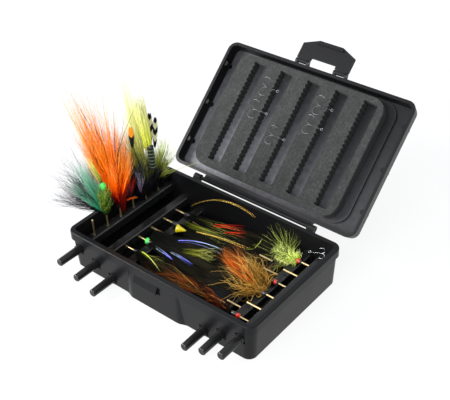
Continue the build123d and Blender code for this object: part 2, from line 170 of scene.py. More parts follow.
# ------
# Moulded plastic of the case: black polypropylene from a spark-eroded mould,
# satin, with a fine even grain, edges worn by handling and, on the lid, a pale painted reflection.
CASE_COLOUR = (0.0050, 0.0051, 0.0056)


def socket(tree, name, kind, way="INPUT", value=None):
    made = tree.interface.new_socket(name=name, in_out=way, socket_type="NodeSocket" + kind)
    if value is not None:
        made.default_value = value


def shader_group(name, outputs, **inputs):
    """A shared effect with numbers as its inputs and outputs."""
    group = bpy.data.node_groups.new(name, "ShaderNodeTree")
    for label, value in inputs.items():
        socket(group, label, "Float", value=value)
    for label in outputs:
        socket(group, label, "Float", "OUTPUT")
    return group, node(group, "TexCoord").outputs


def tree_vector(tree, operation, first, second=None):
    """A vector sum. The second value of SCALE is a number."""
    inputs = {0: first}
    if second is not None:
        inputs["Scale" if operation == "SCALE" else 1] = second
    return node(tree, "ShaderNodeVectorMath", inputs, operation=operation)


def remap(tree, value, start=0.0, stop=1.0, low=0.0, high=1.0, **settings):
    return node(tree, "MapRange", {"Value": value, "From Min": start, "From Max": stop, "To Min": low,
                                   "To Max": high}, **settings)


def noise(tree, place, scale, **more):
    return node(tree, "TexNoise", {"Vector": place["Object"], "Scale": scale, **more})


def mix(tree, share, first, second):
    return node(tree, "Mix", {"Factor": share, "A": first, "B": second}, data_type="RGBA")


def skin(tree, inputs):
    """The surface itself, joined to the material's output."""
    node(tree, "OutputMaterial", {"Surface": node(tree, "BsdfPrincipled", inputs)})


def grain_group():
    """Fine mould grain and slow unevenness, as a height and a roughness shift."""
    group, place = shader_group("mould_grain", ("Height", "Patches"), Scale=1500.0)
    scale = node(group, "NodeGroupInput").outputs["Scale"]
    fine = noise(group, place, scale, Detail=3.0, Roughness=0.6)
    slow = noise(group, place, 45.0, Detail=4.0)
    node(group, "NodeGroupOutput", {"Height": fine, "Patches": slow})
    return group


def edge_wear_and_sheen_group():
    """A mask of edges, where a rounded edge would turn the surface's normal: worn edges on the case, and a
    painted highlight along the bars' edges.
    """
    group, place = shader_group("edge_wear_and_sheen", ("WearAndSheen",), Radius=0.0004)
    rounded = node(group, "Bevel", {"Radius": node(group, "NodeGroupInput").outputs["Radius"]})
    normal = node(group, "NewGeometry").outputs["Normal"]
    edge = remap(group, tree_vector(group, "DOT_PRODUCT", rounded, normal), 0.99, 0.90)
    node(group, "NodeGroupOutput", {"WearAndSheen": tree_math(group, "MULTIPLY", edge, noise(group, place, 160.0))})
    return group


grain = grain_group()
edge_wear_and_sheen_tree = edge_wear_and_sheen_group()


def plastic(name, colour, roughness, grain_scale, grain_depth, pale=1.8, mirror=0.17, edge=0.4):
    """Satin or glossy moulded plastic in one colour, paler on its edges: worn edges, and where pale is large
    a painted edge highlight.
    """
    material, tree = surface(name)
    texture = node(tree, "Group", {"Scale": grain_scale}, node_tree=grain).outputs
    wear_and_sheen_mask = node(tree, "Group", {"Radius": edge * MM}, node_tree=edge_wear_and_sheen_tree)
    gloss = remap(tree, texture["Patches"], low=roughness - 0.06, high=roughness + 0.08)
    bump = node(tree, "Bump", {"Strength": 0.5, "Distance": grain_depth * MM, "Height": texture["Height"]})
    skin(tree, {"IOR": 1.49, "Specular IOR Level": mirror, "Roughness": gloss, "Normal": bump,
                "Base Color": mix(tree, wear_and_sheen_mask, colour, [pale * part + 0.008 for part in colour])})
    return material


def dress(node_name, material):
    """Gives a CAD node its finish."""
    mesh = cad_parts[node_name].data
    mesh.materials.clear()
    mesh.materials.append(material)


dress("base_tray", plastic("case_plastic", CASE_COLOUR, 0.33, 1500.0, 0.04))


# ------
# Lid: the same plastic. It stands open, and its inner floor is painted paler, a painted
# reflection of the key light, most of all at the low left end, beside the foam and in its slots.
LID_TILT = math.radians(47.06)
LID_CORNER = (63.75, 30.14)
LID_FLOOR = (7.5, 7.9, 9.9, 10.6)
LID_FACE = (0.0, -math.cos(LID_TILT), math.sin(LID_TILT))
# the colour of the painted reflection of the key light on the lid's floor
SHEEN_COLOUR = (0.19, 0.19, 0.21)
SHEEN_UP = (5.0, 95.0)
SHEEN_ACROSS = (-70.0, 75.0)


def painted_sheen_group():
    """Where the painted reflection lies: a mask that fades along the lid's floor, broken up by noise."""
    group, place = shader_group("painted_floor_sheen", ("PaintedSheen",))
    x, y, z = node(group, "SeparateXYZ", {0: place["Object"]}).outputs

    def from_corner(y_share, z_share):
        """A length in the lid's own frame, in metres from its hinge corner."""
        shift = -(LID_CORNER[0] * y_share + LID_CORNER[1] * z_share) * MM
        across = tree_math(group, "MULTIPLY_ADD", y, y_share, shift)
        return tree_math(group, "MULTIPLY_ADD", z, z_share, across)

    def fade(value, start, stop, high, low):
        return remap(group, value, start * MM, stop * MM, high, low, interpolation_type="SMOOTHSTEP")

    up = from_corner(math.sin(LID_TILT), math.cos(LID_TILT))
    deep = from_corner(math.cos(LID_TILT), -math.sin(LID_TILT))
    mask = remap(group, noise(group, place, 260.0, Detail=5.0), 0.3, 0.7, 0.6)
    inner = remap(group, tree_vector(group, "DOT_PRODUCT", place["Normal"], LID_FACE), stop=0.4)
    for part in (inner, fade(up, *SHEEN_UP, 1.0, 0.25), fade(x, *SHEEN_ACROSS, 1.0, 0.15),
                 fade(deep, *LID_FLOOR[:2], 0.0, 1.0), fade(deep, *LID_FLOOR[2:], 1.0, 0.0)):
        mask = tree_math(group, "MULTIPLY", mask, part)
    node(group, "NodeGroupOutput", {"PaintedSheen": mask})
    return group


def with_painted_sheen(material):
    """Lays a pale painted reflection over a finished plastic."""
    tree = material.node_tree
    colour = tree.nodes["Principled BSDF"].inputs["Base Color"]
    lying = node(tree, "Group", node_tree=painted_sheen_group())
    # mixes the pale painted reflection over the plastic's own colour
    tree.links.new(mix(tree, lying, colour.links[0].from_socket, SHEEN_COLOUR).outputs["Result"], colour)
    return material


dress("lid", with_painted_sheen(plastic("lid_plastic", CASE_COLOUR, 0.33, 1500.0, 0.04)))


# ------
# Latch: a swinging tongue of the same plastic with a window for a finger. It
# hangs on two pins between lugs of the lid, and fingers have polished it.
dress("latch", plastic("latch_plastic", (0.0125, 0.0125, 0.0135), 0.40, 1400.0, 0.03, mirror=0.08))


# ------
# Turning bars: glossy black rods of moulded plastic, square inside the tray, with
# a round handle in front. Each turns in holes in the front and back walls.
BAR_SPAN = 45.0


def painted_edge_highlight_inside(material):
    """Lets the bar's pale edges, a painted highlight, show inside the tray only."""
    tree = material.node_tree
    share = tree.nodes["Mix"].inputs["Factor"]
    place = node(tree, "TexCoord").outputs["Object"]
    away = tree_math(tree, "ABSOLUTE", node(tree, "SeparateXYZ", {0: place}).outputs["Y"])
    inside = tree_math(tree, "LESS_THAN", away, BAR_SPAN * MM)
    both = tree_math(tree, "MULTIPLY", share.links[0].from_socket, inside)
    tree.links.new(both.outputs[0], share)
    return material


# pale=70 turns the edge mask into a bright painted highlight along the bars' edges
bar_plastic = painted_edge_highlight_inside(plastic("bar_plastic", (0.0090, 0.0090, 0.0090), 0.24, 900.0, 0.02, pale=70.0,
                                    mirror=0.30, edge=0.8))
for bar in range(1, 7):
    dress(f"pin_bar_{bar}", bar_plastic)


# ------
# Metal: pins of drawn brass wire, pressed in the bars, and the steel pins of the
# hinge and the latch.
def metal(name, colour, roughness, streaks):
    """Drawn wire: a metal with fine unevenness in its colour and gloss."""
    material, tree = surface(name)
    uneven = noise(tree, node(tree, "TexCoord").outputs, streaks, Detail=3.0)
    gloss = remap(tree, uneven, low=roughness, high=roughness + 0.18)
    skin(tree, {"Metallic": 1.0, "Roughness": gloss,
                "Base Color": mix(tree, uneven, colour, [part * 0.72 for part in colour])})
    return material


brass = metal("brass_wire", (0.86, 0.66, 0.34), 0.30, 700.0)
steel = metal("bright_steel", (0.62, 0.62, 0.60), 0.22, 900.0)
for bar in range(1, 7):
    dress(f"brass_pins_{bar}", brass)
dress("hinge_pin", steel)
dress("latch_pins", steel)


# ------
# Foam insert: closed-cell EVA, die-cut, with saw-toothed slots for the hooks. Its
# face shows open cells, and the walls of the slots carry a near-black painted shade.
FOAM_DARK = (0.012, 0.0125, 0.012)
FOAM_PALE = (0.060, 0.062, 0.060)
# near-black painted shade for the walls of the slots
FOAM_WALL_SHADE = (0.0015, 0.0015, 0.0015)


def foam():
    material, tree = surface("cut_foam")
    place = node(tree, "TexCoord").outputs
    cells = node(tree, "TexVoronoi", {"Vector": place["Object"], "Scale": 620.0})
    dents = noise(tree, place, 120.0, Detail=5.0)
    face = mix(tree, tree_math(tree, "MULTIPLY", cells, dents), FOAM_DARK, FOAM_PALE)
    facing = tree_math(tree, "ABSOLUTE", tree_vector(tree, "DOT_PRODUCT", place["Normal"], LID_FACE))
    height = tree_math(tree, "MULTIPLY_ADD", cells, 0.35, dents)
    bump = node(tree, "Bump", {"Strength": 1.0, "Distance": 0.6 * MM, "Height": height})
    # surfaces square to the lid's face, the slot walls, take the near-black painted shade
    skin(tree, {"IOR": 1.45, "Specular IOR Level": 0.20, "Sheen Weight": 0.10, "Sheen Roughness": 0.6,
                "Base Color": mix(tree, remap(tree, facing, 0.7, 0.3), face, FOAM_WALL_SHADE),
                "Roughness": 0.85, "Normal": bump})
    return material


dress("foam_insert", foam())


# ------
# Treble hooks: three bends of dark japanned wire brazed to one shank, with a
# ring eye. Five of them lie hooked in the saw-toothed slots of the foam.
HOOK_INPUTS = {"Places": None, "Shank": 0.0090, "Gape": 0.0042, "Point": 0.0026, "Wire": 0.00024,
               "Eye": 0.0009}
SOCKET_KINDS = {int: "Int", float: "Float", tuple: "Vector", type(None): "Geometry"}
HOOK_PLACES = ((-29.0, -26.4), (-29.1, -7.1), (-5.2, 6.5), (20.0, -26.9), (19.2, -11.0))
HOOK_LEVEL = 30.4
TINE_TURNS = (-20, 100, 220)
LID_AXIS = Vector((0.0, 58.0, 29.05))
LID_OPEN = math.radians(-137.0)


def geometry_tree(name, inputs):
    """A tree with named inputs and a material, the inputs' sockets, and its sums."""
    tree = bpy.data.node_groups.new(name, "GeometryNodeTree")
    for label, value in inputs.items():
        socket(tree, label, SOCKET_KINDS[type(value)], value=value)
    socket(tree, "Material", "Material")
    socket(tree, "Geometry", "Geometry", "OUTPUT")
    return tree, node(tree, "NodeGroupInput").outputs, partial(tree_math, tree)


def wire_line(tree, start, end):
    return node(tree, "CurvePrimitiveLine", {"Start": start, "End": end})


def finish_wires(tree, curve, radius, sides, material, points=None, **more):
    """Gives curves a round section, copies them to the points, and ends the tree."""
    section = node(tree, "CurvePrimitiveCircle", {"Resolution": sides, "Radius": radius})
    shape = node(tree, "CurveToMesh", {"Curve": curve, "Profile Curve": section,
                                                   "Fill Caps": True, **more})
    if points:
        spots = node(tree, "MeshToPoints", {"Mesh": points})
        shape = node(tree, "InstanceOnPoints", {"Points": spots, "Instance": shape})
    real = node(tree, "RealizeInstances", {"Geometry": shape})
    done = node(tree, "SetMaterial", {"Geometry": real, "Material": material})
    node(tree, "NodeGroupOutput", {"Geometry": done})
    return tree


def run_tree(tree, values, name, points=()):
    """Evaluates a tree on loose points and returns the result as a plain mesh object."""
    seed_mesh = bpy.data.meshes.new(name)
    seed_mesh.from_pydata(points, [], [])
    holder = placed(name, seed_mesh)
    modifier = holder.modifiers.new("make", "NODES")
    modifier.node_group = tree
    for item in tree.interface.items_tree:
        if item.in_out == "INPUT" and item.name in values:
            modifier[item.identifier] = values[item.name]
    bpy.context.view_layer.update()
    graph = bpy.context.evaluated_depsgraph_get()
    mesh = bpy.data.meshes.new_from_object(holder.evaluated_get(graph))
    holder.modifiers.remove(modifier)
    holder.data = mesh
    return holder


def hook_tree():
    tree, given, calc = geometry_tree("treble_hook", HOOK_INPUTS)

    def point(x, y=0.0):
        return node(tree, "ShaderNodeCombineXYZ", {0: x, 1: y})

    def moved(geometry, **inputs):
        return node(tree, "Transform", {"Geometry": geometry, **inputs})

    def together(*parts):
        whole = node(tree, "JoinGeometry")
        for part in parts:
            tree.links.new(part.outputs[0], whole.inputs[0])
        return whole

    half = calc("MULTIPLY", given["Shank"], 0.5)
    foot = calc("MULTIPLY", given["Shank"], -0.5)
    tall = calc("MULTIPLY", given["Gape"], 2.0)
    barb = point(calc("ADD", foot, given["Point"]), calc("MULTIPLY", tall, 0.88))
    bend = node(tree, "CurveArc", {"Resolution": 13, "Radius": given["Gape"],
                                               "Start Angle": 1.5 * math.pi, "Sweep Angle": -math.pi})
    tine = together(wire_line(tree, point(half), point(foot)),
                    moved(bend, Translation=point(foot, given["Gape"])),
                    wire_line(tree, point(foot, tall), barb))
    ring = node(tree, "CurvePrimitiveCircle", {"Resolution": 16, "Radius": given["Eye"]})
    wires = together(*[moved(tine, Rotation=(math.radians(turn), 0.0, 0.0)) for turn in TINE_TURNS],
                     moved(ring, Translation=point(calc("ADD", half, given["Eye"]))))
    return finish_wires(tree, wires, given["Wire"], 6, given["Material"], given["Places"])


hook_wire = metal("japanned_wire", (0.22, 0.22, 0.23), 0.30, 900.0)
treble_hook = hook_tree()
hooks = run_tree(treble_hook, {"Material": hook_wire}, "treble_hook_wires",
                 [(x * MM, y * MM, HOOK_LEVEL * MM) for x, y in HOOK_PLACES])
hooks.data.transform(Matrix.Translation(LID_AXIS * MM) @ Matrix.Rotation(LID_OPEN, 4, "X")
                     @ Matrix.Translation(-LID_AXIS * MM))
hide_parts("treble_hooks")
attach(hooks, "lid")


# ------
# Hair, hackle and tinsel: each fly's wing is a few hundred tapered fibres tied in
# at one root. One tree makes them all: a line is copied, bent and given its taper.
HAIR_INPUTS = {
    "Count": 100, "Tufts": 60, "Seed": 1, "Steps": 9,
    "Root": (0.0, 0.0, 0.0), "Along": (0.0, 0.0, 0.05), "Wide": (0.01, 0.0, 0.0), "Thick": (0.0, 0.01, 0.0),
    "Droop": (0.0, 0.0, 0.0), "Loose": 0.12, "Flare": 1.2, "Shortest": 0.6, "Body": 0.0,
    "Root Radius": 0.001, "Curl": 0.0005, "Fibre": 0.00008,
    "Low": (-1.0, -1.0, 0.002), "High": (1.0, 1.0, 1.0),
}
TAPER = 0.6
PIN_RADIUS = 0.65
PIN_REACH = 17.0
PIN_COUNT = 6
BEAD = ((0.0, 0.55), (0.08, 1.2), (0.25, 1.9), (0.5, 2.2), (0.75, 1.9), (0.92, 1.2), (1.0, 0.55))


def stack_of_lines(tree, count, steps):
    """Straight lines of unit length along Z, all in one place."""
    line = node(tree, "CurvePrimitiveLine", {"End": (0.0, 0.0, 1.0)})
    cut = node(tree, "ResampleCurve", {"Curve": line, "Count": steps})
    return node(tree, "DuplicateElements", {"Geometry": cut, "Amount": count}, domain="SPLINE")


def bent_lines(tree, lines, where, **marks):
    """Moves the points of lines and keeps each mark as an attribute for their material."""
    shape = node(tree, "SetPosition", {"Geometry": lines, "Position": where})
    for name, value in marks.items():
        shape = node(tree, "StoreNamedAttribute", {"Name": name, "Geometry": shape, "Value": value})
    return shape


def hair_tree():
    tree, given, calc = geometry_tree("hair_bundle", HAIR_INPUTS)
    times = partial(calc, "MULTIPLY")
    vec = partial(tree_vector, tree)
    lines = stack_of_lines(tree, given["Count"], given["Steps"])
    strand = lines.outputs["Duplicate Index"]
    tuft = calc("MODULO", strand, given["Tufts"])
    along = node(tree, "SplineParameter").outputs["Factor"]

    def random(offset, low=0.0, high=1.0, of=strand):
        return node(tree, "FunctionNodeRandomValue",
                    {"Min": low, "Max": high, "ID": of, "Seed": calc("ADD", given["Seed"], offset)})

    def shared(whole, own):
        """A value that is partly the tuft's and partly the fibre's own."""
        bound = calc("SUBTRACT", 1.0, given["Loose"])
        return calc("MULTIPLY_ADD", own, given["Loose"], times(whole, bound))

    angle = random(11, 0.0, math.tau)
    filled = calc("SQRT", random(23))
    tuft_angle = random(12, 0.0, math.tau, tuft)
    tuft_filled = calc("SQRT", random(24, of=tuft))
    loss = calc("SUBTRACT", 1.0, given["Shortest"])
    length = calc("MULTIPLY_ADD", shared(random(38, of=tuft), random(37)), loss, given["Shortest"])
    spread = times(calc("POWER", along, given["Flare"]), length)
    ring = times(given["Root Radius"], filled)

    def aside(turn):
        whole = times(tuft_filled, calc(turn, tuft_angle))
        own = times(filled, calc(turn, angle))
        return times(spread, shared(whole, own))

    def wave(seed):
        """A slow wave runs through each tuft and a quicker one through each fibre."""
        sways = [calc("SINE", calc("MULTIPLY_ADD", along, random(seed, slow, quick, of),
                                   random(seed + 3, 0.0, math.tau, of)))
                 for of, slow, quick in ((tuft, 1.5, 4.5), (strand, 3.0, 8.0))]
        return times(times(shared(*sways), along), given["Curl"])

    # the roots stand round the tying thread, or along the body of a hackle
    along_unit, wide_unit, thick_unit = [vec("NORMALIZE", given[way]) for way in ("Along", "Wide", "Thick")]
    where = vec("SCALE", given["Along"], times(length, along))
    for way, amount in ((given["Wide"], aside("COSINE")), (given["Thick"], aside("SINE")),
                        (given["Droop"], times(calc("POWER", along, 2.0), length)),
                        (wide_unit, times(ring, calc("COSINE", angle))),
                        (thick_unit, times(ring, calc("SINE", angle))),
                        (along_unit, times(given["Body"], random(53))),
                        (wide_unit, wave(61)), (thick_unit, wave(71))):
        where = vec("ADD", where, vec("SCALE", way, amount))
    where = vec("ADD", where, given["Root"])
    where = vec("MINIMUM", vec("MAXIMUM", where, given["Low"]), given["High"])
    fibres = bent_lines(tree, lines, where, along=along, strand=shared(random(84, of=tuft), random(83)))
    left = calc("POWER", calc("SUBTRACT", 1.02, along), TAPER)
    return finish_wires(tree, fibres, given["Fibre"], 3, given["Material"],
                        Scale=times(left, random(91, 0.6, 1.4)))


hair_bundle = hair_tree()


def hair(root, tip, count, wide, thick, material, seed, foot=1.0, fibre=0.16, **more):
    """Fibres from root to tip, all in millimetres. wide and thick are how far the ends
    spread, level with the table and square to that, foot is the radius of their roots."""
    start = Vector(root) * MM
    reach = Vector(tip) * MM - start
    side = reach.cross(Vector((0, 0, 1)))
    if side.length < 0.3 * reach.length:
        side = reach.cross(Vector((0.64, -0.77, 0.0)))
    side.normalize()
    other = reach.cross(side).normalized()
    values = {"Count": count, "Seed": seed, "Root": start, "Along": reach, "Material": material,
              "Wide": side * wide * MM, "Thick": other * thick * MM, "Root Radius": foot * MM,
              "Fibre": fibre * MM}
    for key, value in more.items():
        label = key.replace("_", " ").title()
        if isinstance(value, (tuple, list)):
            values[label] = Vector(value) * MM
        elif key in ("curl", "body"):
            values[label] = value * MM
        else:
            values[label] = value
    return run_tree(hair_bundle, values, "fibres")


def spray(root, tips, material, seed, **more):
    """Several bundles from one root; each tip is (place, count, wide, thick)."""
    return [hair(root, place, count, wide, thick, material, seed + number, **more)
            for number, (place, count, wide, thick) in enumerate(tips)]


def dyed(name, stops, shine=0.45, speckle=0.55, metallic=0.0, bright=0.0, shift=0.30, blend="LINEAR"):
    """Dyed hair: stops are (share of the length, red, green, blue) from root to tip, bright
    is the strength of a painted glow in the hair's own colour, standing in for light shining through the
    hair, shift how far the stops wander between fibres."""
    material, tree = surface(name)
    along = node(tree, "Attribute", attribute_name="along").outputs["Fac"]
    strand = node(tree, "Attribute", attribute_name="strand").outputs["Fac"]
    place = tree_math(tree, "SUBTRACT", tree_math(tree, "MULTIPLY_ADD", strand, shift, along), shift / 2)
    ramp = node(tree, "ValToRGB", {"Fac": place})
    ramp.color_ramp.interpolation = blend
    while len(ramp.color_ramp.elements) < len(stops):
        ramp.color_ramp.elements.new(0.5)
    for element, (share, *colour) in zip(ramp.color_ramp.elements, stops):
        element.position = share
        element.color = (*colour, 1.0)
    light = remap(tree, strand, low=1.0 - speckle, high=1.0 + speckle)
    vary = node(tree, "HueSaturation", {"Color": ramp, "Value": light})
    inputs = {"Metallic": metallic, "Specular IOR Level": 0.05, "Roughness": shine, "Base Color": vary}
    # bright adds a painted glow: an emission in the hair's own colour
    if bright:
        inputs.update({"Emission Color": vary, "Emission Strength": bright})
    skin(tree, inputs)
    return material


def lacquer(name, colour, roughness=0.18):
    """Painted head cement or a dyed bead: a bright coat over a mottled colour."""
    material, tree = surface(name)
    mottle = noise(tree, node(tree, "TexCoord").outputs, 600.0)
    tone = mix(tree, mottle, [part * 0.7 for part in colour], [min(1.0, part * 1.2) for part in colour])
    skin(tree, {"Coat Weight": 0.6, "Coat Roughness": 0.08, "Roughness": roughness, "Base Color": tone})
    return material


def turned(start, end, profile, material, sides=20):
    """A round part from start to end in millimetres; profile is (share, radius)."""
    a, b = Vector(start) * MM, Vector(end) * MM
    axis = b - a
    side = axis.orthogonal().normalized()
    other = axis.cross(side).normalized()
    shape = bmesh.new()
    rings = []
    for share, radius in profile:
        ring = []
        for step in range(sides):
            spin = math.tau * step / sides
            out = side * math.cos(spin) + other * math.sin(spin)
            ring.append(shape.verts.new(a + axis * share + out * radius * MM))
        rings.append(ring)
    for low, high in zip(rings, rings[1:]):
        for step in range(sides):
            after = (step + 1) % sides
            shape.faces.new((low[step], low[after], high[after], high[step]))
    shape.faces.new(list(reversed(rings[0])))
    shape.faces.new(rings[-1])
    bmesh.ops.recalc_face_normals(shape, faces=shape.faces)
    mesh = bpy.data.meshes.new("turned")
    shape.to_mesh(mesh)
    shape.free()
    for face in mesh.polygons:
        face.use_smooth = len(face.vertices) == 4
    mesh.materials.append(material)
    return placed("turned", mesh)


def scaled(profile, radius):
    largest = max(part[1] for part in profile)
    return [(share, size * radius / largest) for share, size in profile]


def on_pin(bar, pin, out):
    """A place on the line of a pin, out millimetres from where it leaves the bar."""
    low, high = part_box(f"brass_pins_{bar}")
    y_from = low.y / MM + PIN_RADIUS
    y_to = high.y / MM - PIN_RADIUS
    y = y_from + (y_to - y_from) * (pin - 1) / (PIN_COUNT - 1)
    if bar == 1:
        return Vector(((low.x + high.x) / 2 / MM, y, high.z / MM - PIN_REACH)) + Vector((0, 0, out))
    z = (low.z + high.z) / 2 / MM
    if bar <= 3:
        return Vector((high.x / MM - PIN_REACH, y, z)) + Vector((out, 0, 0))
    return Vector((low.x / MM + PIN_REACH, y, z)) - Vector((out, 0, 0))


def tube_body(bar, pin, start, end, radius):
    """The dressed tube that slips over the pin, from start to end out from the bar's axis."""
    profile = ((0.0, radius * 0.6), (0.06, radius), (0.35, radius * 1.1), (0.8, radius), (1.0, radius * 0.5))
    return turned(on_pin(bar, pin, start), on_pin(bar, pin, end), profile, thread_black, 14)


def joined(name, parts, body, node_name):
    """Joins the parts of one fly and lets it ride on its bar in place of the CAD solid."""
    bpy.ops.object.select_all(action="DESELECT")
    for part in parts:
        part.select_set(True)
    bpy.context.view_layer.objects.active = parts[0]
    bpy.ops.object.join()
    whole = parts[0]
    whole.name = name
    whole.data.name = name
    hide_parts(node_name)
    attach(whole, body)
    return whole


thread_black = lacquer("black_thread", (0.012, 0.012, 0.013), 0.35)


# ------
# Teal fly on the raised bar: teal goat hair over a long black squirrel wing, a
# few lime strands, a green bead at its head and a rough green hackle under it.
def raised_fly(colour, parts):
    """A fly of the raised bar, joined and given its own copy of its mesh."""
    fly = joined(f"{colour}_fly", parts, "bar_1", f"fly_{colour}")
    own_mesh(fly)


teal_hair = dyed("teal_hair", (
    (0, 0.00, 0.05, 0.03), (0.25, 0.01, 0.24, 0.12), (0.6, 0.10, 0.44, 0.24), (1, 0.46, 0.64, 0.54)))
black_hair = dyed("black_hair", (
    (0, 0.004, 0.004, 0.004), (0.6, 0.010, 0.009, 0.012), (1, 0.05, 0.05, 0.07)))
moss_hair = dyed("moss_hair", (
    (0, 0.01, 0.025, 0.003), (0.5, 0.07, 0.14, 0.01), (1, 0.32, 0.46, 0.07)), speckle=0.9)
lime_hair = dyed("lime_hair", ((0, 0.12, 0.15, 0.01), (0.4, 0.50, 0.60, 0.06), (1, 0.74, 0.82, 0.26)))
green_bead = lacquer("green_bead", (0.08, 0.72, 0.10))
base = on_pin(1, 2, 16.0)
raised_fly("teal", [
    tube_body(1, 2, 13.5, 20.0, 1.8),
    *spray(base, (((-93, -38, 66), 500, 8, 6), ((-88, -32, 80), 560, 8, 6), ((-80, -26, 70), 260, 6, 5)),
           teal_hair, 101, flare=0.8, shortest=0.35, curl=2.0, foot=1.8, fibre=0.12),
    *spray(base + Vector((-1.5, 0.5, 0)),
           (((-101, -48, 56), 150, 8, 6), ((-99, -44, 74), 130, 9, 6), ((-95, -38, 92), 50, 9, 6)),
           black_hair, 105, flare=0.9, shortest=0.5, curl=3.4, foot=1.6, tufts=90, loose=1.0, fibre=0.13),
    hair(base + Vector((2.0, -1.5, 0)), (-70, -24, 48), 460, 5, 5, moss_hair, 108, flare=0.4, shortest=0.3,
         curl=1.6, body=14.0, tufts=230, loose=1.0),
    hair(base + Vector((0, 0, 24)), (-81, -27, 84), 50, 2.2, 2.2, lime_hair, 109, flare=0.8, shortest=0.4,
         curl=0.8, fibre=0.13),
    turned(base + Vector((0.4, 0.4, 18.5)), base + Vector((-0.5, 0.0, 26.0)), scaled(BEAD, 2.6), green_bead),
    hair(base + Vector((-2, 6, -4)), (-77, -15, 52), 240, 7, 4, black_hair, 110, flare=0.7, shortest=0.35,
         curl=2.0, foot=2.4, tufts=40),
])


# ------
# Orange fly on the raised bar: a wide, long wing of temple-dog hair, deep red
# where it is tied and pale peach at its ends, with a few dark guard hairs.
GUARD_HAIRS = (((-91, -16, 121), (-10, 0, 0)), ((-65, -2, 124), (16, 0, 10)), ((-68.5, -3, 112), (-4, 0, 6)),
               ((-93, -12, 108), (-5, 0, 0)), ((-84, -14, 121), (-8, 0, 4)))

guard_hair = dyed("guard_hair", (
    (0, 0.05, 0.006, 0.002), (0.5, 0.06, 0.02, 0.015), (1, 0.06, 0.05, 0.05)))
# bright=0.14 gives this hair a painted glow
orange_hair = dyed("orange_hair", (
    (0.10, 0.02, 0.001, 0.0), (0.24, 0.75, 0.018, 0.0), (0.42, 1.0, 0.10, 0.0), (0.68, 1.0, 0.24, 0.0),
    (1, 0.92, 0.44, 0.10)), speckle=0.75, bright=0.14)
base = on_pin(1, 3, 16.0)
raised_fly("orange", [
    tube_body(1, 3, 11.5, 20.0, 1.8),
    *spray(base, (((-98, -26, 138), 50, 7, 6), ((-94, -22, 126), 70, 8, 7), ((-92, -14, 132), 50, 8, 7),
                  ((-86, -6, 128), 50, 9, 7), ((-80, 3, 112), 50, 8, 7)),
           orange_hair, 111, flare=0.9, shortest=0.6, curl=3.6, foot=1.8, fibre=0.17, tufts=60, loose=0.3),
    *spray(base, (((-91, -23, 102), 460, 8, 8), ((-84, -13, 100), 520, 9, 8), ((-75, 2, 94), 460, 8, 8)),
           orange_hair, 118, flare=0.9, shortest=0.42, curl=2.6, foot=2.4, fibre=0.15, tufts=56, steps=7),
    *spray(base, (((-88, -20, 78), 560, 7, 8), ((-80, -10, 80), 640, 8, 8), ((-72, 5, 79), 560, 7, 8)),
           orange_hair, 115, flare=0.9, shortest=0.42, curl=1.6, foot=2.6, fibre=0.19, tufts=70, steps=6),
    hair(base, (-82, -13, 122), 24, 22, 10, black_hair, 113, flare=0.9, shortest=0.7, curl=5.0, fibre=0.17,
         loose=1.0),
    *[hair(base + Vector((-2, 0, 20)), (x, y, z - bend[2]), 1, 0.3, 0.3, guard_hair, 190 + number,
           shortest=0.98, curl=0.5, fibre=0.42, droop=bend, steps=16)
      for number, ((x, y, z), bend) in enumerate(GUARD_HAIRS)],
])


# ------
# Red fly on the raised bar: short wine-red and black hair, and a curved copper
# hackle quill that lies across the foot of its pin.
red_hair = dyed("red_hair", ((0, 0.40, 0.004, 0.001), (0.5, 0.75, 0.020, 0.003), (1, 0.45, 0.03, 0.01)))
wine_hair = dyed("wine_hair", (
    (0, 0.05, 0.002, 0.001), (0.5, 0.22, 0.006, 0.003), (1, 0.30, 0.02, 0.01)))
violet_hair = dyed("violet_hair", (
    (0, 0.05, 0.02, 0.06), (0.5, 0.30, 0.24, 0.34), (1, 0.62, 0.56, 0.66)))
copper_hair = dyed("copper_hair", (
    (0, 0.30, 0.015, 0.003), (0.4, 0.70, 0.09, 0.006), (1, 0.60, 0.15, 0.015)))
raised_fly("red", [
    tube_body(1, 4, 13.0, 20.0, 1.8),
    *spray((-68.5, -2.0, 38), (((-71.5, -1, 60), 56, 3, 3), ((-69, 5, 57), 34, 3, 3)),
           red_hair, 121, flare=0.8, shortest=0.4, curl=1.6, foot=1.6, fibre=0.17, tufts=30),
    hair((-67.5, -9.5, 30), (-69, -8, 52), 70, 4, 3, wine_hair, 123, flare=0.8, shortest=0.4, curl=1.4,
         fibre=0.17, foot=1.4, tufts=30),
    hair((-68, -3, 32), (-69, -3, 52), 150, 4, 3, black_hair, 129, flare=0.8, shortest=0.4, curl=1.8,
         fibre=0.15, foot=2.0, tufts=40),
    *spray(on_pin(1, 4, 16.0),
           (((-76, 4, 74), 300, 8, 7), ((-70, 11, 64), 420, 8, 7), ((-73, -4, 52), 300, 8, 7)),
           black_hair, 124, flare=0.7, shortest=0.30, curl=2.6, foot=2.2, fibre=0.15, tufts=70),
    hair((-66, 8, 38), (-66.5, 9, 58), 22, 5, 3, violet_hair, 127, flare=0.9, shortest=0.5, curl=2.4,
         fibre=0.17, tufts=22),
    hair((-64.5, -7.8, 40.3), (-65.5, 4.0, 37.7), 46, 0.7, 0.4, copper_hair, 128, flare=0.3, shortest=0.85,
         curl=0.3, foot=0.5, fibre=0.20, droop=(0.0, 0.0, -2.2)),
])


# ------
# Yellow fly on the raised bar: a tall plume of pale yellow over olive and black,
# a ribbed green body, barred feathers at its side and one orange eye feather.
FEATHER_INPUTS = {
    "Barbs": 120, "Seed": 1, "Root": (0.0, 0.0, 0.0), "Along": (0.0, 0.0, 0.03),
    "Side": (0.003, 0.0, 0.0), "Bow": (0.0, 0.0, 0.0), "Fibre": 0.00016,
}


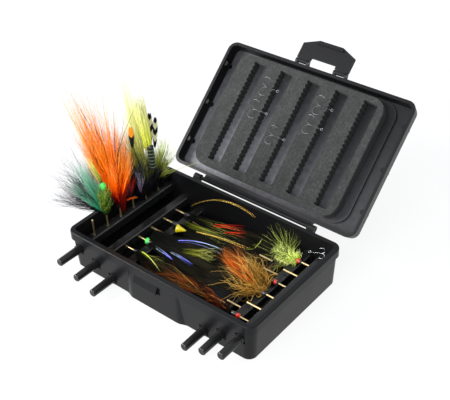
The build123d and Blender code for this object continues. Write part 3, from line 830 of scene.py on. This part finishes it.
def feather_tree():
    """A vane of barbs that stand out on both sides of a quill and lean to its tip."""
    tree, given, calc = geometry_tree("barred_feather", FEATHER_INPUTS)
    vec = partial(tree_vector, tree)
    lines = stack_of_lines(tree, given["Barbs"], 4)
    barb = lines.outputs["Duplicate Index"]
    out = node(tree, "SplineParameter").outputs["Factor"]
    seat = calc("DIVIDE", barb, given["Barbs"])
    side = calc("MULTIPLY_ADD", calc("MODULO", barb, 2.0), 2.0, -1.0)
    outline = calc("SINE", calc("MULTIPLY_ADD", seat, 2.3, 0.5))
    jitter = node(tree, "FunctionNodeRandomValue",
                  {"Min": 0.80, "Max": 1.05, "ID": barb, "Seed": given["Seed"]})
    reach = calc("MULTIPLY", calc("MULTIPLY", out, outline), jitter)
    run = calc("MULTIPLY_ADD", reach, 0.16, seat)
    where = vec("SCALE", given["Along"], run)
    for way, amount in ((given["Side"], calc("MULTIPLY", reach, side)),
                        (given["Bow"], calc("POWER", run, 2.0))):
        where = vec("ADD", where, vec("SCALE", way, amount))
    barbs = bent_lines(tree, lines, vec("ADD", where, given["Root"]), along=seat, strand=jitter)
    return finish_wires(tree, barbs, given["Fibre"], 3, given["Material"])


feather_vane = feather_tree()


def feather(root, tip, wide, material, seed):
    """One flat feather in millimetres."""
    start = Vector(root) * MM
    side = Vector((0.77, 0.64, 0.0)).normalized() * wide * MM
    return run_tree(feather_vane, {"Barbs": 160, "Seed": seed, "Root": start, "Side": side,
                                   "Along": Vector(tip) * MM - start, "Material": material}, "feather")


def banded_material(name, light, dark, bands):
    """A feather in hard bands of two colours along its quill."""
    stops = [(band / bands, *(light if band % 2 else dark)) for band in range(bands)]
    return dyed(name, stops, shine=0.5, speckle=0.12, shift=0.0, blend="CONSTANT")


def body_point(share, above=0.0):
    """A place on the axis of the wound body."""
    return (-65.2 - 0.2 * share, 22.2 - 1.2 * share, 51 + above + 21.5 * share)


def ribbed(start, end, radius, ribs, material):
    """A wound body: a tube with a rounded rib for each turn of the thread."""
    profile = [(0.0, radius * 0.5)]
    for rib in range(ribs):
        profile += [((rib + 0.25) / ribs, radius * 0.86), ((rib + 0.6) / ribs, radius)]
    profile.append((1.0, radius * 0.5))
    return turned(start, end, profile, material, 14)


# bright=0.12 gives this hair a painted glow
yellow_hair = dyed("yellow_hair", (
    (0, 0.24, 0.26, 0.01), (0.25, 0.78, 0.82, 0.10), (0.6, 0.84, 0.85, 0.28),
    (1, 0.80, 0.80, 0.48)), bright=0.12)
olive_hair = dyed("olive_hair", (
    (0, 0.02, 0.026, 0.003), (0.45, 0.20, 0.22, 0.015), (1, 0.58, 0.60, 0.14)))
barred = banded_material("barred_feather", (0.46, 0.45, 0.26), (0.006, 0.006, 0.008), 5)
eye_feather = banded_material("eye_feather", (0.90, 0.30, 0.02), (0.012, 0.012, 0.012), 2)
rib_tinsel = lacquer("rib_tinsel", (0.17, 0.24, 0.13), 0.25)
green_thread = lacquer("green_thread", (0.005, 0.011, 0.006), 0.45)
base = on_pin(1, 5, 16.0)
raised_fly("yellow", [
    tube_body(1, 5, 10.0, 20.0, 1.8),
    *spray(base + Vector((0, 0, 10)),
           (((-83, 17, 138.5), 36, 2, 2), ((-80, 16, 128), 70, 5, 4), ((-79, 15, 108), 200, 6, 6)),
           yellow_hair, 131, flare=0.8, shortest=0.6, curl=2.0, foot=1.6, fibre=0.15, tufts=70, loose=0.25),
    hair((-67.5, 21.6, 68), (-71.8, 18.4, 114), 420, 2.6, 2, yellow_hair, 135, flare=0.4, shortest=0.65,
         curl=0.3, loose=1.0, foot=2.6, fibre=0.17, steps=6),
    *spray(base, (((-82, 10, 90), 160, 8, 7), ((-74, 18, 90), 200, 8, 7), ((-76, 15, 70), 240, 9, 8),
                  ((-68, 26, 72), 140, 6, 6)),
           olive_hair, 136, flare=0.7, shortest=0.34, curl=2.8, foot=2.4, tufts=30),
    *spray(base, (((-80, 13, 84), 200, 8, 7), ((-70, 22, 70), 300, 9, 7), ((-75, 15, 50), 360, 9, 8),
                  ((-72, 30, 52), 360, 8, 7)),
           black_hair, 146, flare=0.7, shortest=0.34, curl=2.8, foot=2.4, fibre=0.17, tufts=46),
    ribbed(body_point(0.0), body_point(1.0), 2.7, 7, green_thread),
    *[turned(body_point(share), body_point(share, 0.5), ((0.0, 2.75), (1.0, 2.75)), rib_tinsel, 14)
      for share in (0.12, 0.26, 0.40, 0.54, 0.68, 0.82)],
    feather((-66.6, 22.8, 70), (-66.0, 24.0, 97), 2.3, barred, 143),
    feather((-64.8, 25.4, 68), (-63.6, 27.0, 93), 1.9, barred, 144),
    feather((-71.5, 9.6, 73.5), (-74.8, 12.4, 88.0), 2.0, eye_feather, 145),
])


# ------
# Lime fly at the back of the raised bar: sparse lime hackle in open spikes, with
# olive and black hair under it and short black tufts along the bar.
spike_hair = dyed("spike_hair", (
    (0, 0.03, 0.04, 0.004), (0.4, 0.26, 0.32, 0.03), (1, 0.52, 0.60, 0.14)))
base = on_pin(1, 6, 16.0)
raised_fly("lime", [
    tube_body(1, 6, 10.5, 20.0, 1.8),
    *spray(base, (((-67, 33, 77), 16, 2, 2), ((-67, 38, 77), 18, 2, 2), ((-66, 41, 70), 14, 2, 2),
                  ((-65, 43, 68), 14, 2, 2), ((-62, 44, 58), 20, 3, 2), ((-60, 48, 62), 14, 2, 2),
                  ((-60, 40, 46), 14, 3, 2), ((-66, 29, 66), 16, 2, 2)),
           spike_hair, 151, flare=0.9, shortest=0.6, curl=2.2, foot=1.8, fibre=0.22, tufts=4, loose=0.05),
    *spray(base, (((-73, 33, 64), 90, 6, 6), ((-66, 38, 54), 100, 7, 6), ((-66, 34, 46), 110, 7, 6)),
           olive_hair, 161, flare=0.7, shortest=0.30, curl=2.4, foot=2.2, tufts=26),
    *spray(base, (((-72, 28, 50), 220, 6, 6), ((-68, 36, 46), 200, 6, 6)),
           black_hair, 165, flare=0.7, shortest=0.30, curl=2.4, foot=2.2, tufts=40),
    *[hair((-70.5, y, 26), (-69.5, y + 2, 49), 90, 4, 4, black_hair, 170 + number, flare=0.8, shortest=0.4,
           curl=2.2, foot=2.2, tufts=26)
      for number, y in enumerate((13.0, 20.0, 27.0, 34.0))],
    hair(base, (-50, 57.5, 45), 2, 0.5, 0.5, lime_hair, 167, flare=1.0, shortest=0.95, curl=0.6, fibre=0.22,
         steps=16),
])


# ------
# Flies lying in the tray: black and brown hair swept from the bars' pins to the
# middle, with olive, copper and metallic strands. The tray's walls hold it in.
TRAY_LOW = (-78, -47.0, 2.2)
TRAY_HIGH = (78, 47.0, 31.0)
STRAND_HIGH = (78, 47, 70)
RING_PITCH = 3.0
CONE = ((0.0, 2.3), (0.06, 2.6), (0.5, 1.9), (1.0, 0.9))
BELL = ((0.0, 0.8), (0.05, 3.0), (0.12, 3.2), (0.5, 2.0), (1.0, 0.5))
FAN = (((42, 9, 30), 26), ((31, 3, 30), 40), ((25, -8, 28), 44), ((31, -20, 26), 20), ((45, -26, 25), 12),
       ((54, 6, 31), 16))
SPIKES = ((31.5, 46.5, 31), (25, 46.5, 29.5), (28.5, 46.5, 30.5), (38, 46.5, 31), (42, 46.5, 30),
          (47, 46.5, 31), (50, 46.5, 30), (17, 46.5, 21), (22, 46.5, 19), (33, 21, 24), (22, 28, 22),
          (36, 12, 22), (53, 10, 22), (49, 12, 20))

gold_hair = dyed("gold_hair", (
    (0, 0.12, 0.06, 0.01), (0.5, 0.42, 0.21, 0.03), (1, 0.62, 0.40, 0.10)), speckle=0.9)
dark_hair = dyed("dark_hair", (
    (0, 0.003, 0.004, 0.003), (0.6, 0.007, 0.007, 0.005), (1, 0.026, 0.023, 0.012)))
tinsel_blue = dyed("tinsel_blue", (
    (0, 0.07, 0.08, 0.42), (0.45, 0.28, 0.32, 0.90), (1, 0.62, 0.90, 0.98)), shine=0.20, metallic=0.6)
tinsel_gold = dyed("tinsel_gold", (
    (0, 0.80, 0.52, 0.10), (0.6, 0.98, 0.64, 0.15), (1, 0.85, 0.52, 0.12)), shine=0.18, metallic=0.8)
bucktail_hair = dyed("bucktail_hair", (
    (0, 0.20, 0.010, 0.003), (0.4, 0.46, 0.060, 0.006), (1, 0.44, 0.12, 0.012)))
# bright=0.10 gives this hair a painted glow
hackle_hair = dyed("hackle_hair", (
    (0, 0.30, 0.36, 0.03), (0.4, 0.62, 0.76, 0.09), (1, 0.86, 0.94, 0.38)), bright=0.10)
yellow_cone = lacquer("yellow_cone", (0.66, 0.54, 0.01))
red_bead = lacquer("red_bead", (0.80, 0.025, 0.008))
bright_wire = metal("bright_wire", (0.80, 0.80, 0.81), 0.16, 900.0)


def laid(root, tip, count, wide, thick, material, seed, **more):
    """Hair that the tray's walls hold in."""
    return hair(root, tip, count, wide, thick, material, seed, low=TRAY_LOW, high=TRAY_HIGH, **more)


def wing(bar, pin, out, tip, count, wide, thick, seed, flare=0.7, curl=2.4, fibre=0.08):
    """The dark hair of a lying fly, tied to its tube."""
    return laid(on_pin(bar, pin, out), tip, count, wide, thick, dark_hair, seed, flare=flare,
                shortest=0.35, curl=curl, fibre=fibre)


def strand(start, end, count, material, seed, rise=0.0, fibre=0.25, spread=0.8):
    """A few long, stiff strands that bow up between two points."""
    top = (end[0], end[1], end[2] + 4.0 * rise)
    return hair(start, top, count, spread, spread, material, seed, low=TRAY_LOW, high=STRAND_HIGH,
                fibre=fibre, droop=(0.0, 0.0, -4.0 * rise), shortest=0.85, curl=0.3, steps=14)


def wound(pin, out, rings, spokes, twist, lean, reach, count, spread, material, seed, **more):
    """A hackle wound round a tube of bar 6: rings of short tufts that stand out on all sides."""
    tufts = []
    for ring in range(rings):
        root = on_pin(6, pin, out + RING_PITCH * ring)
        for spoke in range(spokes):
            turn = math.tau * spoke / spokes + twist * ring
            tip = root + Vector((lean, reach * math.cos(turn), reach * math.sin(turn)))
            tufts.append(laid(root, tip, count, spread, spread, material, seed + spokes * ring + spoke,
                                   flare=0.8, shortest=0.5, loose=1.0, steps=6, **more))
    return tufts


def tray_fly(name, bar, parts, node_name=None):
    joined(f"{name}_fly", parts, f"bar_{bar}", f"fly_{node_name or name}")


def loose_hook():
    """A small steel treble in the tray's corner."""
    hook = run_tree(treble_hook, {"Shank": 0.0075, "Gape": 0.0021, "Point": 0.0014, "Wire": 0.0002,
                                  "Eye": 0.0009, "Material": bright_wire}, "spare_hook", [(0.0, 0.0, 0.0)])
    hook.data.transform(Matrix.Translation(Vector((69.0, 40.5, 26.0)) * MM)
                        @ Matrix.Rotation(math.radians(205), 4, "Z"))
    return hook


def red_head(pin):
    return turned(on_pin(6, pin, 11.6), on_pin(6, pin, 15.6), scaled(BEAD, 1.9), red_bead)


# green strand fly, second pin of bar 2: black hair and one lime strand
tray_fly("green_strand", 2, [
    tube_body(2, 2, 11.0, 15.0, 1.2),
    wing(2, 2, 13, (4, -33, 12), 1000, 14, 6, 201),
    laid(on_pin(2, 2, 15), (-12, -24, 17), 12, 5, 3, olive_hair, 203, shortest=0.5, curl=3.0, fibre=0.12),
    strand((-33.9, -27.4, 20), (-13, -31.5, 15), 2, lime_hair, 202, rise=2.5, fibre=0.22, spread=0.6),
])

# green cone fly, third pin: blue and violet tinsel over black
tray_fly("green_cone", 2, [
    tube_body(2, 3, 11.0, 21.0, 1.6),
    wing(2, 3, 12, (22, -12, 12), 1200, 15, 7, 211, flare=0.65, curl=2.6),
    laid((-46, -2, 12), (12, 2, 12), 800, 12, 5, dark_hair, 216, flare=0.9, shortest=0.5, curl=2.6,
         foot=5.0, fibre=0.08),
    laid((-14, -6, 16), (12, 4, 18), 40, 6, 3, olive_hair, 214, shortest=0.5, curl=3.0, fibre=0.13,
         foot=2.5),
    strand((-11, -19.4, 20), (-30, -16.4, 20.5), 3, tinsel_blue, 212, rise=0.5, fibre=0.19),
    strand((4.3, -16.9, 20), (-19, -14.5, 20), 4, tinsel_blue, 213, rise=0.8, fibre=0.15, spread=1.8),
    strand((-21, -2.4, 20), (13.4, 7.6, 20.5), 5, tinsel_blue, 215, rise=3.0, fibre=0.16, spread=2.0),
    turned(on_pin(2, 3, 11.0), on_pin(2, 3, 15.4), CONE, green_bead),
])

# yellow cone fly, fifth pin: its tube hangs off the pin's end
tray_fly("yellow_cone", 2, [
    tube_body(2, 5, 12.0, 19.0, 1.6),
    wing(2, 5, 16, (34, 14, 13), 1200, 15, 7, 221, flare=0.65),
    laid((-36, 20, 15), (16, 20, 17), 34, 8, 3, olive_hair, 224, shortest=0.45, curl=2.4, fibre=0.11,
         foot=2.0),
    strand((-12, 27, 20), (12, 36, 21), 6, red_hair, 222, rise=0.5, fibre=0.12, spread=3.0),
    strand((0, 25, 20), (16, 31, 21), 6, red_hair, 225, rise=0.5, fibre=0.12, spread=3.0),
    strand((-16, 12, 21), (27, 19.4, 21), 4, tinsel_gold, 223, rise=1.5, fibre=0.21, spread=1.4),
    turned((-36.6, 12.4, 15.0), (-29.2, 15.0, 14.0), BELL, yellow_cone),
])

# gold strand fly, sixth pin: one long gilt braid arches along the back wall
tray_fly("gold_strand", 2, [
    tube_body(2, 6, 12.0, 19.0, 1.5),
    wing(2, 6, 14, (30, 33, 14), 900, 13, 6, 231),
    laid(on_pin(2, 6, 16), (14, 31, 17), 24, 7, 3, olive_hair, 233, shortest=0.5, curl=2.4, fibre=0.11),
    laid((-48, 43, 12), (13, 46, 67), 4, 0.6, 0.6, tinsel_gold, 232, fibre=0.34, droop=(0, 0, -40),
         shortest=0.96, steps=18, curl=0.3),
])

# bucktail fly, first pin of bar 6
tray_fly("bucktail", 6, [
    tube_body(6, 1, 13.0, 20.0, 1.5),
    wing(6, 1, 16, (-4, -41, 18), 800, 9, 6, 240),
    laid(on_pin(6, 1, 18), (-22, -41, 22), 90, 7, 4, bucktail_hair, 241, flare=0.9, shortest=0.35,
         curl=6.0, fibre=0.15, tufts=90, loose=1.0),
    laid(on_pin(6, 1, 17), (-6, -42, 23), 120, 9, 6, dark_hair, 243, flare=0.9, shortest=0.4, curl=5.0,
         fibre=0.14, tufts=90, loose=1.0),
    laid(on_pin(6, 1, 18), (-4, -38, 24), 22, 7, 5, gold_hair, 242, shortest=0.45, curl=4.4, fibre=0.13),
    red_head(1),
])

# golden hackle fly, third pin: its hackle stands open like a fan
tray_fly("golden", 6, [
    tube_body(6, 3, 11.0, 20.0, 1.6),
    *[laid(on_pin(6, 3, 12), tip, count, 8, 6, gold_hair, 251 + number, flare=0.8, shortest=0.35,
                curl=4.0, body=9.0, tufts=90, loose=1.0)
      for number, (tip, count) in enumerate(FAN)],
    *wound(3, 13.0, 4, 6, 0.5, -5.0, 6.0, 10, 3.0, gold_hair, 400, curl=1.6),
    laid(on_pin(6, 3, 16), (14, 3, 28), 200, 9, 6, copper_hair, 257, flare=0.8, shortest=0.45, curl=4.0,
         tufts=70),
    wing(6, 3, 14, (30, -8, 16), 500, 14, 6, 259, fibre=0.14),
    wing(6, 3, 14, (8, -16, 15), 700, 14, 6, 258, fibre=0.14),
])

# brown fly, fourth pin
tray_fly("brown", 6, [
    tube_body(6, 4, 11.0, 19.0, 1.5),
    wing(6, 4, 14, (8, 6, 16), 900, 13, 6, 260),
    laid(on_pin(6, 4, 16), (26, 8, 24), 90, 8, 5, gold_hair, 261, shortest=0.45, curl=3.0, fibre=0.14),
    red_head(4),
])

# lime hackle fly, sixth pin: a short bright hackle wound round the tube, long sparse
# spikes above it, and a small steel treble that hangs loose in the corner
tray_fly("lime_hackle", 6, [
    tube_body(6, 6, 11.0, 30.0, 1.6),
    *wound(6, 15.0, 6, 7, 0.45, -3.5, 7.0, 17, 3.5, hackle_hair, 300, curl=1.2, fibre=0.17),
    *[laid(on_pin(6, 6, 22), tip, 4, 4, 3, spike_hair, 350 + number, flare=0.9, shortest=0.7, curl=1.2,
                fibre=0.14, tufts=4, loose=1.0)
      for number, tip in enumerate(SPIKES)],
    loose_hook(),
    strand((24.5, 18.5, 22), (29, 22, 22), 1, lime_hair, 288, fibre=0.26, spread=0.2),
    strand((29, 22, 22), (26, 35, 21), 1, lime_hair, 289, rise=-0.5, fibre=0.26, spread=0.2),
    laid(on_pin(6, 6, 16), (38, 36, 20), 300, 9, 6, dark_hair, 281, shortest=0.4, curl=2.4, fibre=0.14),
    laid(on_pin(6, 6, 18), (18, 32, 18), 400, 12, 6, dark_hair, 279, shortest=0.4, curl=2.4, fibre=0.08),
    red_head(6),
], "hackle")
